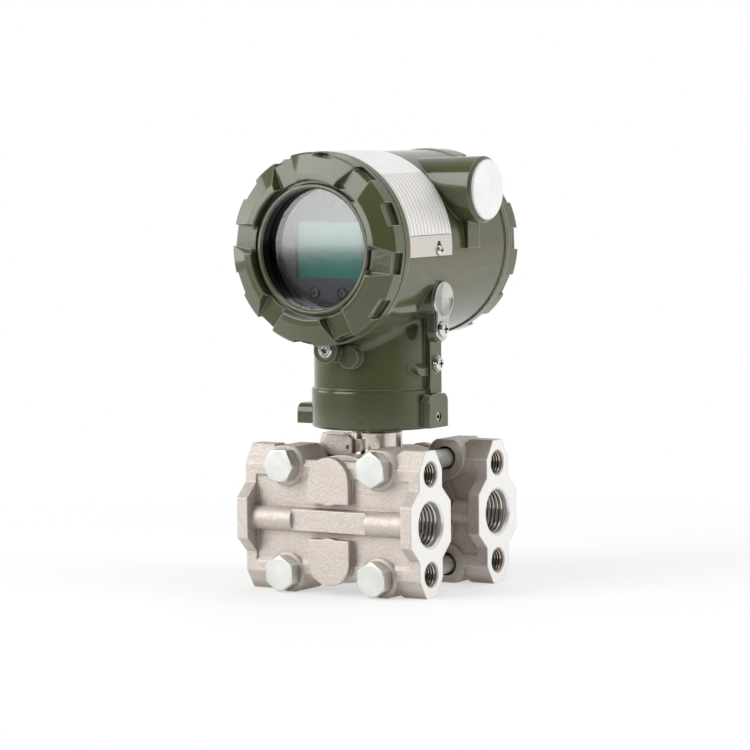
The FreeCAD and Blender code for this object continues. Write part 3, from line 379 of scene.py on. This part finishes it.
def castFinish(name, middleY):
    # blasted casting with milled port faces: bright, with the cutter's fine rings
    mat, tree, shader = surface(name, looks["castSteel"])
    x, y, z = axes(tree, objectPoint(tree))
    middleX = (portFaceX["right"] + portFaceX["left"]) / 2
    halfLength = (portFaceX["right"] - portFaceX["left"]) / 2
    fromMiddle = calc(tree, "ABSOLUTE", calc(tree, "SUBTRACT", x, middleX))
    inward = calc(tree, "SUBTRACT", halfLength, fromMiddle)
    out = distance(tree, calc(tree, "SUBTRACT", y, middleY), z)
    face = calc(tree, "LESS_THAN", inward, faceSet["skin"])
    bare = face
    for hole in ("bore", "mouth"):
        turned = calc(tree, "MULTIPLY", calc(tree, "LESS_THAN", out, faceSet[hole + "Radius"]),
                      calc(tree, "LESS_THAN", inward, faceSet[hole + "Depth"]))
        bare = calc(tree, "MAXIMUM", bare, turned)
    overpaint(tree, shader, bare, faceSet["tone"])
    tree.links.new(spread(tree, bare, 0, 1, looks["castSteel"]["metal"], faceSet["metal"]),
                   shader.inputs["Metallic"])
    rough = inputSource(shader.inputs["Roughness"])
    smoother = calc(tree, "MULTIPLY", bare, faceSet["smoother"])
    tree.links.new(calc(tree, "SUBTRACT", rough, smoother), shader.inputs["Roughness"])
    for node in [n for n in tree.nodes if n.bl_idname == "ShaderNodeBump"]:
        tree.links.new(calc(tree, "SUBTRACT", 1.0, bare), node.inputs["Strength"])
    rings = calc(tree, "PINGPONG", calc(tree, "DIVIDE", out, faceSet["pitch"]), 1.0)
    bumped(tree, shader, calc(tree, "MULTIPLY", rings, face), faceSet["depth"])
    return mat


capSet = {"y": 0.0115, "z": 0.1356, "radius": 0.0121, "rim": 0.0004, "rimShadeShare": 0.8,
          "rimTone": (0.42, 0.42, 0.41), "lineTop": (0.0157, 0.1412),
          "lineLow": (0.0115, 0.1283), "width": 0.00016, "dot": (0.0090, 0.1262),
          "dotRadius": 0.0004, "markShare": 0.35, "markTone": (0.45, 0.45, 0.44),
          "depth": 0.00006}


def farFrom(tree, y, z, spot):
    return distance(tree, calc(tree, "SUBTRACT", y, spot[0]), calc(tree, "SUBTRACT", z, spot[1]))


def capFinish(name):
    # moulded cap: painted shade round its edge, a fine slanting ridge and a gate mark on its face
    mat, tree, shader = surface(name, looks["whiteMoulding"])
    _, y, z = axes(tree, objectPoint(tree))
    out = farFrom(tree, y, z, (capSet["y"], capSet["z"]))
    # painted shade: greyer towards the cap's rounded edge, where it turns from the light
    overpaint(tree, shader, spread(tree, out, capSet["radius"], capSet["radius"] + capSet["rim"],
                                   0.0, capSet["rimShadeShare"]), capSet["rimTone"])
    (topY, topZ), (lowY, lowZ) = capSet["lineTop"], capSet["lineLow"]
    slope = (topY - lowY) / (topZ - lowZ)
    lineY = calc(tree, "ADD", calc(tree, "MULTIPLY", calc(tree, "SUBTRACT", z, lowZ), slope),
                 lowY)
    off = calc(tree, "ABSOLUTE", calc(tree, "SUBTRACT", y, lineY))
    mark = calc(tree, "MULTIPLY", calc(tree, "LESS_THAN", off, capSet["width"]),
                between(tree, z, lowZ, topZ))
    for spot in (capSet["dot"], capSet["lineTop"]):
        near = calc(tree, "LESS_THAN", farFrom(tree, y, z, spot), capSet["dotRadius"])
        mark = calc(tree, "MAXIMUM", mark, near)
    overpaint(tree, shader, calc(tree, "MULTIPLY", mark, capSet["markShare"]),
              capSet["markTone"])
    bumped(tree, shader, mark, capSet["depth"])
    return mat


dishSet = {"y": -0.0068, "z": 0.0908, "radius": 0.0068, "depth": 0.0028,
           "turnDepth": 0.000010, "pitch": 0.0006}


def dishedPlate(name):
    # turned cover: a shallow dish with the tool's rings
    mat, tree, shader = surface(name, looks["dishSteel"])
    _, y, z = axes(tree, objectPoint(tree))
    out = farFrom(tree, y, z, (dishSet["y"], dishSet["z"]))
    share = spread(tree, out, 0.0, dishSet["radius"], 0.0, 1.0)
    bumped(tree, shader, calc(tree, "POWER", share, 2.0), dishSet["depth"])
    rings = calc(tree, "PINGPONG", calc(tree, "DIVIDE", out, dishSet["pitch"]), 1.0)
    bumped(tree, shader, rings, dishSet["turnDepth"])
    return mat


# The CAD nodes get their finishes, by their slot or by their name

finishes = {name: surface(name, look)[0] for name, look in looks.items()}
slotFinish = {
    "green_paint": "greenPaint", "blasted_stainless": "castSteel",
    "machined_stainless": "turnedSteel", "zinc_bolt": "zincPlate",
    "bright_screw": "brightScrew", "nameplate_steel": "plateSteel",
    "black_rubber": "blackRubber", "white_sealant": "whiteSealant",
    "bezel_plastic": "bezelPlastic", "lcd": "displayFilm", "board_green": "boardResist",
    "post_brass": "postBrass", "black_plastic": "blackMoulding", "white_plastic": "whiteMoulding",
}
materials = {slot: finishes[name] for slot, name in slotFinish.items()}
materials["window_glass"] = glassFinish("clearGlass")
front, rear, reach = jointY["front"], jointY["rear"], bareSet["reach"]
lip = 0.0001  # the covers' threads start this far from the joint plane
ownFinish = {
    "housing": barePaint("housingPaint", ((front, front + reach), (rear - reach, rear)),
                         stain=True),
    "front_cover": barePaint("frontCoverPaint", ((front + lip, front + reach),),
                             dark=(front - bareSet["windowHeight"], front)),
    "rear_cover": barePaint("rearCoverPaint", ((rear - reach, rear - lip),)),
    "nameplate": brushedPlate("brushedPlate"),
    "front_flange": castFinish("frontCasting", -portY),
    "rear_flange": castFinish("rearCasting", portY),
    "conduit_cap": capFinish("mouldedCap"),
    "orientation_plate": finishes["castSteel"],
    "zero_cover_plate": dishedPlate("dishedPlate"),
    "display_screws": finishes["blackMoulding"],
    "display_bezel": bezelFinish("rimmedBezel"),
}
for part in frame["record"]["subparts"]:
    mesh = nodes[part["node"]].data
    mesh.materials.clear()
    mesh.materials.append(ownFinish.get(part["node"]) or materials[part["material_slot"]])
print("finishes made:", len(bpy.data.materials))


# Geometry Nodes helpers: every tree makes one shape and sets a copy of it at each point

def startTree(name, sizes):
    tree = bpy.data.node_groups.new(name, "GeometryNodeTree")
    sockets = {"Geometry": "Geometry", **sizes, "Turn": "Vector", "Material": "Material"}
    for label, kind in sockets.items():
        tree.interface.new_socket(label, in_out="INPUT", socket_type="NodeSocket" + kind)
    tree.interface.new_socket("Geometry", in_out="OUTPUT", socket_type="NodeSocketGeometry")
    return tree, tree.nodes.new("NodeGroupInput").outputs


def endTree(tree, given, shape):
    turned = addNode(tree, "GeometryNodeTransform", Geometry=shape, Rotation=given["Turn"])
    copies = addNode(tree, "GeometryNodeInstanceOnPoints", Points=given["Geometry"],
                     Instance=turned.outputs[0])
    real = addNode(tree, "GeometryNodeRealizeInstances", Geometry=copies.outputs[0])
    painted = addNode(tree, "GeometryNodeSetMaterial", Geometry=real.outputs[0],
                      Material=given["Material"])
    out = tree.nodes.new("NodeGroupOutput")
    tree.links.new(painted.outputs[0], out.inputs[0])
    return tree


def wireAlong(tree, given, curve):
    profile = addNode(tree, "GeometryNodeCurvePrimitiveCircle", {"Resolution": 4},
                      Radius=given["Wire"])
    return addNode(tree, "GeometryNodeCurveToMesh", Curve=curve,
                   Profile_Curve=profile.outputs[0]).outputs[0]


def grow(name, tree, points, body, values):
    # run a tree on points, keep its result as a plain mesh and let it ride on a body
    mesh = bpy.data.meshes.new(name)
    mesh.from_pydata(points, [], [])
    piece = bpy.data.objects.new(name, mesh)
    bpy.context.scene.collection.objects.link(piece)
    modifier = piece.modifiers.new("shape", "NODES")
    modifier.node_group = tree
    for item in tree.interface.items_tree:
        if item.in_out == "INPUT" and item.name in values:
            modifier[item.identifier] = values[item.name]
    done = piece.evaluated_get(bpy.context.evaluated_depsgraph_get())
    shaped = bpy.data.meshes.new_from_object(done)
    piece.modifiers.clear()
    piece.data = shaped
    shaped.name = name
    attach(piece, body)
    print(name, len(shaped.polygons), "faces")


# Threads: one ridge wound along a bore or a shank, set at every spot

def threadTree():
    tree, given = startTree("thread", {"Radius": "Float", "Pitch": "Float", "Length": "Float",
                                       "Ridge": "Float"})
    turns = calc(tree, "DIVIDE", given["Length"], given["Pitch"])
    helix = addNode(tree, "GeometryNodeCurveSpiral", {"Resolution": 48},
                    Start_Radius=given["Radius"], End_Radius=given["Radius"],
                    Height=given["Length"], Rotations=turns)
    upright = addNode(tree, "GeometryNodeSetCurveNormal", {"mode": "Z_UP"},
                      Curve=helix.outputs[0])
    # the ridge's flanks, in pitches: its root on the wall, its crest away from it
    flank = {"Point 1": (0, -0.46, 0), "Point 2": (0.42, -0.07, 0), "Point 3": (0.42, 0.07, 0),
             "Point 4": (0, 0.46, 0)}
    profile = addNode(tree, "GeometryNodeCurvePrimitiveQuadrilateral",
                      {"mode": "POINTS", **flank})
    sized = addNode(tree, "GeometryNodeTransform", Geometry=profile.outputs[0],
                    Scale=given["Ridge"])
    ridge = addNode(tree, "GeometryNodeCurveToMesh", {"Fill Caps": True},
                    Curve=upright.outputs[0], Profile_Curve=sized.outputs[0])
    return endTree(tree, given, ridge.outputs[0])


portStart, holeStart = 0.0021, 0.0009  # how far inside their faces the ridges start
boltOff, boltEndY = 0.0225, 0.0431  # the flange bolts, from the flanges' middle
threads = {
    "portThreads": {
        "spots": [(portFaceX["right"] - portStart, y * portY, 0) for y in bothSides],
        "slot": "machined_stainless",
        "values": {"Radius": 0.00925, "Pitch": 0.001814, "Length": 0.0130, "Ridge": 0.0018,
                   "Turn": (0, -quarterTurn, 0)}},
    "manifoldThreads": {
        "spots": [(portFaceX["right"] - holeStart, y * portY, z * manifoldZ)
                  for y in bothSides for z in bothSides],
        "slot": "machined_stainless",
        "values": {"Radius": 0.00493, "Pitch": 0.00127, "Length": 0.0112, "Ridge": 0.00127,
                   "Turn": (0, -quarterTurn, 0)}},
    "leftThreads": {
        "spots": [(portFaceX["left"] + holeStart, y * portY, z * manifoldZ)
                  for y in bothSides for z in bothSides],
        "slot": "machined_stainless",
        "values": {"Radius": 0.00428, "Pitch": 0.0015, "Length": 0.0112, "Ridge": 0.0015,
                   "Turn": (0, quarterTurn, 0)}},
    "boltEndThreads": {
        "spots": [(neckX + x * boltOff, boltEndY, z * boltOff)
                  for x in bothSides for z in bothSides],
        "slot": "zinc_bolt",
        "values": {"Radius": 0.00397, "Pitch": 0.00075, "Length": 0.0016, "Ridge": -0.00075,
                   "Turn": (-quarterTurn, 0, 0)}},
}
threadShape = threadTree()
for name, made in threads.items():
    grow(name, threadShape, made["spots"], "pressure_body",
         dict(made["values"], Material=materials[made["slot"]]))
print("threads wound")


# Weld beads in the two grooves round the capsule's rim

beadSet = {"radius": 0.02625, "groove": 0.007, "count": 250, "size": 0.00078}


def beadTree():
    tree, given = startTree("weldBead", {"Radius": "Float", "Count": "Int", "Size": "Float"})
    ring = addNode(tree, "GeometryNodeMeshCircle", Vertices=given["Count"],
                   Radius=given["Radius"])
    drop = addNode(tree, "GeometryNodeMeshIcoSphere", {"Subdivisions": 2}, Radius=given["Size"])
    row = addNode(tree, "GeometryNodeInstanceOnPoints", Points=ring.outputs[0],
                  Instance=drop.outputs[0])
    return endTree(tree, given, row.outputs[0])


grow("weldBeads", beadTree(), [(neckX, side * beadSet["groove"], 0) for side in bothSides],
     "pressure_body",
     {"Radius": beadSet["radius"], "Count": beadSet["count"], "Size": beadSet["size"],
      "Turn": (quarterTurn, 0, 0), "Material": finishes["turnedSteel"]})
print("weld beads set")


# Nameplate ruling: fine lines round the barrel, and one that closes them at the bottom

rulingSet = {"radius": 0.03974, "low": 8.0, "high": 50.0, "wire": 0.00011, "count": 12,
             "frontY": -0.0352, "rearY": -0.0052, "closing": 7.6, "closingWire": 0.000176}


def rulingTree():
    tree, given = startTree("ruling", {"Radius": "Float", "Start": "Float", "Sweep": "Float",
                                       "Wire": "Float"})
    arc = addNode(tree, "GeometryNodeCurveArc", {"Resolution": 40}, Radius=given["Radius"],
                  Start_Angle=given["Start"], Sweep_Angle=given["Sweep"])
    return endTree(tree, given, wireAlong(tree, given, arc.outputs[0]))


def closingTree():
    tree, given = startTree("closing", {"Low": "Vector", "High": "Vector", "Wire": "Float"})
    line = addNode(tree, "GeometryNodeCurvePrimitiveLine", Start=given["Low"],
                   End=given["High"])
    return endTree(tree, given, wireAlong(tree, given, line.outputs[0]))


def rulingSpots():
    step = (rulingSet["rearY"] - rulingSet["frontY"]) / (rulingSet["count"] - 1)
    return [(neckX, rulingSet["frontY"] + step * i, barrelZ) for i in range(rulingSet["count"])]


def closingSpot():
    angle = radians(rulingSet["closing"])
    return (neckX + rulingSet["radius"] * cos(angle), 0.0,
            barrelZ + rulingSet["radius"] * sin(angle))


grow("plateRuling", rulingTree(), rulingSpots(), "housing",
     {"Radius": rulingSet["radius"], "Start": radians(rulingSet["low"]),
      "Sweep": radians(rulingSet["high"] - rulingSet["low"]), "Wire": rulingSet["wire"],
      "Turn": (quarterTurn, 0, 0), "Material": finishes["plateInk"]})
grow("plateClosing", closingTree(), [closingSpot()], "housing",
     {"Low": (0.0, rulingSet["frontY"], 0.0), "High": (0.0, rulingSet["rearY"], 0.0),
      "Wire": rulingSet["closingWire"], "Material": finishes["plateInk"]})
print("nameplate ruled")


# Camera, as fitted to the photograph

cameraSet = {"azimuth": 32.221, "elevation": 4.333, "roll": -0.603, "distance": 1.47512,
             "lens": 168.78, "sensor": 36.0, "clip": (0.05, 20.0), "aimZ": 0.05804,
             "aimRight": -0.00065}


def makeCamera():
    az, el, roll = (radians(cameraSet[key]) for key in ("azimuth", "elevation", "roll"))
    back = Vector((sin(az) * cos(el), -cos(az) * cos(el), sin(el)))
    right = Vector((cos(az), sin(az), 0.0))
    up = back.cross(right)
    aim = Vector((neckX, 0.0, cameraSet["aimZ"])) + right * cameraSet["aimRight"]
    lens = bpy.data.cameras.new("camera")
    lens.lens = cameraSet["lens"]
    lens.sensor_width = cameraSet["sensor"]
    lens.clip_start, lens.clip_end = cameraSet["clip"]
    camera = bpy.data.objects.new("camera", lens)
    bpy.context.scene.collection.objects.link(camera)
    turn = Matrix((cos(roll) * right + sin(roll) * up, cos(roll) * up - sin(roll) * right, back))
    place = Matrix.Translation(aim + back * cameraSet["distance"])
    camera.matrix_world = place @ turn.transposed().to_4x4()
    bpy.context.scene.camera = camera


# Stage: a round white floor, a studio that is dark in front and pale behind, and soft lamps

stageSet = {"floorZ": -0.0303, "floorReach": 0.85, "floorCorners": 96, "floorTone": 0.80,
            "floorRough": 0.9, "floorGloss": 0.1, "nearShare": 0.55, "fade": (0.12, 0.36)}
worldSet = {"front": 0.05, "back": 0.85, "high": 0.62, "heights": (0.10, 0.45),
            "turn": (-0.30, 0.40), "sideShift": 0.12}
lamps = {
    "frontLeft": {"at": (-0.585, -0.875, 0.625), "aim": (-0.076, -0.093, 0.267),
                  "size": (0.75, 1.2), "watts": 13.5},
    "left": {"at": (-1.15, -0.20, 0.28), "aim": (neckX, 0, 0.08), "size": (0.6, 0.6),
             "watts": 2.6},
    "above": {"at": (0.1, -0.1, 1.2), "aim": (neckX, 0, 0.06), "size": (0.9, 0.9),
              "watts": 5.5},
    "right": {"at": (1.1, 0.30, 0.35), "aim": (neckX, 0, 0.05), "size": (0.7, 0.8),
              "watts": 9, "hidden": True},
    "behind": {"at": (-0.45, 1.15, 0.55), "aim": (neckX, 0, 0.10), "size": (1.0, 0.6),
               "watts": 4, "hidden": True},
}


def floorFinish():
    # white to the camera and in reflections, less so near the object, where shadows fall
    mat, tree, shader = startMaterial("paleFloor")
    tone = stageSet["floorTone"]
    setInputs(shader, {"Base Color": (tone, tone, tone, 1.0),
                       "Roughness": stageSet["floorRough"],
                       "Specular IOR Level": stageSet["floorGloss"]})
    glow = addNode(tree, "ShaderNodeEmission", {"Color": (1, 1, 1, 1), "Strength": 1.0})
    path = tree.nodes.new("ShaderNodeLightPath")
    seen = calc(tree, "MAXIMUM", path.outputs["Is Camera Ray"], path.outputs["Is Glossy Ray"])
    seen = calc(tree, "MAXIMUM", seen, path.outputs["Is Transmission Ray"])
    x, y, _ = axes(tree, objectPoint(tree))
    away = distance(tree, calc(tree, "SUBTRACT", x, neckX), y)
    share = spread(tree, away, *stageSet["fade"], stageSet["nearShare"], 1.0)
    mixShaders(tree, calc(tree, "MULTIPLY", seen, share), shader, glow)
    return mat


def makeFloor():
    mesh = bpy.data.meshes.new("floor")
    count, reach = stageSet["floorCorners"], stageSet["floorReach"]
    rim = [(neckX + reach * cos(2 * pi * i / count), reach * sin(2 * pi * i / count),
            stageSet["floorZ"]) for i in range(count)]
    mesh.from_pydata(rim, [], [tuple(range(count))])
    mesh.materials.append(floorFinish())
    floor = bpy.data.objects.new("floor", mesh)
    bpy.context.scene.collection.objects.link(floor)


def makeWorld():
    # pale behind, less so high up, dark in front, and white to the camera
    world = bpy.data.worlds.new("studio")
    world.use_nodes = True
    tree = world.node_tree
    shade = tree.nodes["Background"]
    shade.inputs["Color"].default_value = (1.0, 1.0, 1.0, 1.0)
    x, y, z = axes(tree, tree.nodes.new("ShaderNodeTexCoord").outputs["Generated"])
    pale = spread(tree, z, *worldSet["heights"], worldSet["back"], worldSet["high"])
    behind = calc(tree, "ADD", y, calc(tree, "MULTIPLY", x, worldSet["sideShift"]))
    share = spread(tree, behind, *worldSet["turn"], 0.0, 1.0)
    level = calc(tree, "ADD", calc(tree, "MULTIPLY", pale, share),
                 spread(tree, share, 0.0, 1.0, worldSet["front"], 0.0))
    seen = tree.nodes.new("ShaderNodeLightPath").outputs["Is Camera Ray"]
    tree.links.new(calc(tree, "MAXIMUM", level, seen), shade.inputs["Strength"])
    bpy.context.scene.world = world


def makeLamps():
    for name, lamp in lamps.items():
        light = bpy.data.lights.new(name, "AREA")
        light.shape = "RECTANGLE"
        light.size, light.size_y = lamp["size"]
        light.energy = lamp["watts"]
        obj = bpy.data.objects.new(name, light)
        bpy.context.scene.collection.objects.link(obj)
        obj.visible_glossy = not lamp.get("hidden", False)
        obj.location = lamp["at"]
        toward = Vector(lamp["aim"]) - obj.location
        obj.rotation_euler = toward.to_track_quat("-Z", "Y").to_euler()


makeCamera()
makeFloor()
makeWorld()
makeLamps()
bpy.context.scene.view_settings.view_transform = "Standard"
print("camera, stage and lamps set")
